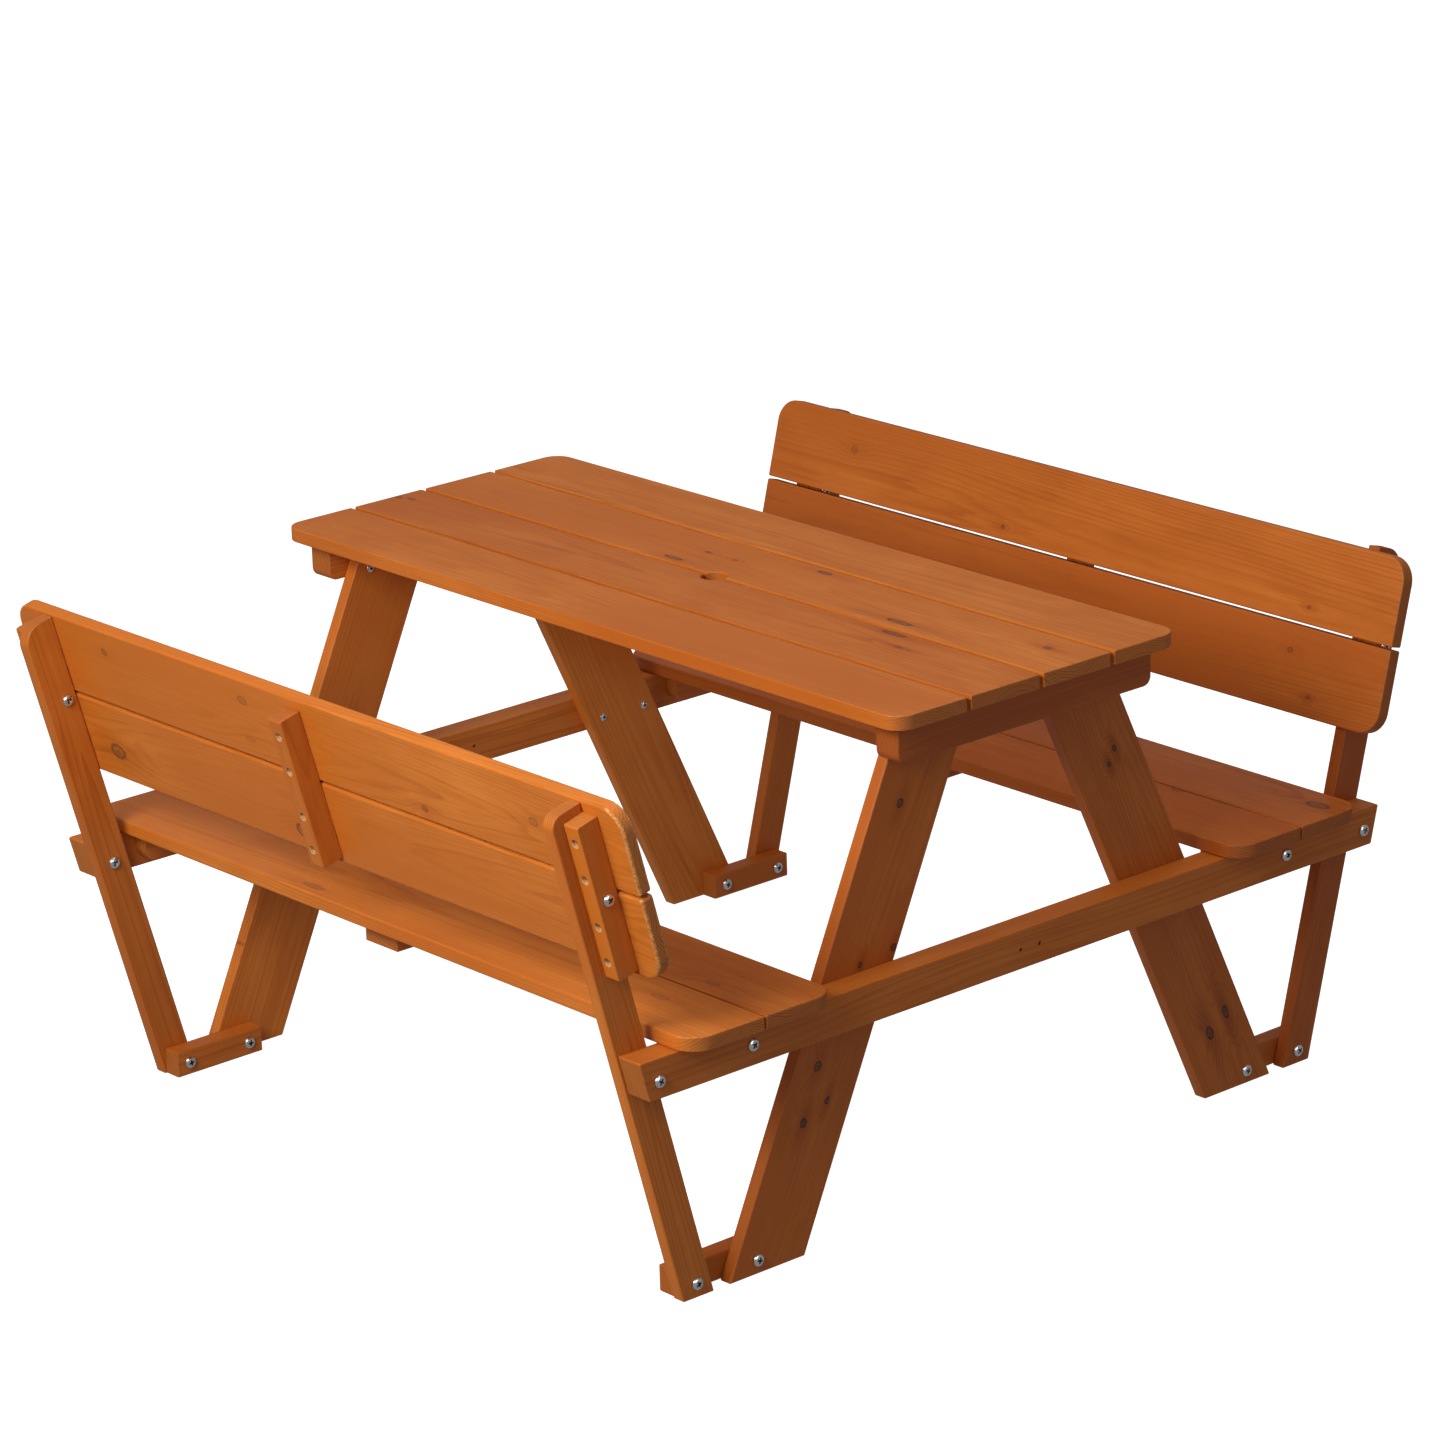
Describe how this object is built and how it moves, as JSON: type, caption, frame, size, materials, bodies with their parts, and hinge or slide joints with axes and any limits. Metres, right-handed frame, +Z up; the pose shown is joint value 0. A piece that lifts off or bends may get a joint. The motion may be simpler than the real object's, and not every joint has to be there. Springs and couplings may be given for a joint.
{
  "type": "picnic table",
  "caption": "Child-size wooden picnic table with a fixed bench and leaning backrest on each long side, a slatted top and a central parasol hole.",
  "frame": {"origin": "on the floor, at the centre of the table's plan", "axes": "+X along the boards to the right-hand end, +Y to the far bench, +Z up"},
  "size_m": [0.886, 1.0627, 0.5],
  "materials": {
    "tabletop_wood": "satin orange-brown stain on softwood",
    "seat_wood": "satin orange-brown stain on softwood",
    "backrest_wood": "satin orange-brown stain on softwood",
    "frame_wood": "satin orange-brown stain on softwood",
    "batten_wood": "satin orange-brown stain on softwood",
    "zinc": "bright zinc plate"
  },
  "bodies": {
    "root": {"tabletop_board_1": "tabletop_wood", "tabletop_board_2": "tabletop_wood", "tabletop_board_3": "tabletop_wood", "tabletop_board_4": "tabletop_wood", "top_apron_left": "frame_wood", "top_apron_right": "frame_wood", "top_middle_batten": "batten_wood", "leg_near_left": "frame_wood", "leg_near_right": "frame_wood", "leg_far_left": "frame_wood", "leg_far_right": "frame_wood", "rail_left": "frame_wood", "rail_right": "frame_wood", "seat_board_near_inner": "seat_wood", "seat_board_near_outer": "seat_wood", "seat_board_far_inner": "seat_wood", "seat_board_far_outer": "seat_wood", "seat_batten_near_left": "batten_wood", "seat_batten_near_middle": "batten_wood", "seat_batten_near_right": "batten_wood", "seat_batten_far_left": "batten_wood", "seat_batten_far_middle": "batten_wood", "seat_batten_far_right": "batten_wood", "back_board_near_upper": "backrest_wood", "back_board_near_lower": "backrest_wood", "back_board_far_upper": "backrest_wood", "back_board_far_lower": "backrest_wood", "back_batten_near_left": "batten_wood", "back_batten_near_middle": "batten_wood", "back_batten_near_right": "batten_wood", "back_batten_far_left": "batten_wood", "back_batten_far_middle": "batten_wood", "back_batten_far_right": "batten_wood", "post_near_left": "frame_wood", "post_near_right": "frame_wood", "post_far_left": "frame_wood", "post_far_right": "frame_wood", "brace_near_left": "frame_wood", "brace_near_right": "frame_wood", "brace_far_left": "frame_wood", "brace_far_right": "frame_wood", "post_rail_bolt_near_left": "zinc", "post_rail_bolt_near_right": "zinc", "post_rail_bolt_far_left": "zinc", "post_rail_bolt_far_right": "zinc", "seat_rail_bolt_near_left": "zinc", "seat_rail_bolt_near_right": "zinc", "seat_rail_bolt_far_left": "zinc", "seat_rail_bolt_far_right": "zinc", "back_batten_bolt_near_left": "zinc", "back_batten_bolt_near_right": "zinc", "back_batten_bolt_far_left": "zinc", "back_batten_bolt_far_right": "zinc", "brace_post_bolt_near_left": "zinc", "brace_post_bolt_near_right": "zinc", "brace_post_bolt_far_left": "zinc", "brace_post_bolt_far_right": "zinc"}
  },
  "joints": []
}
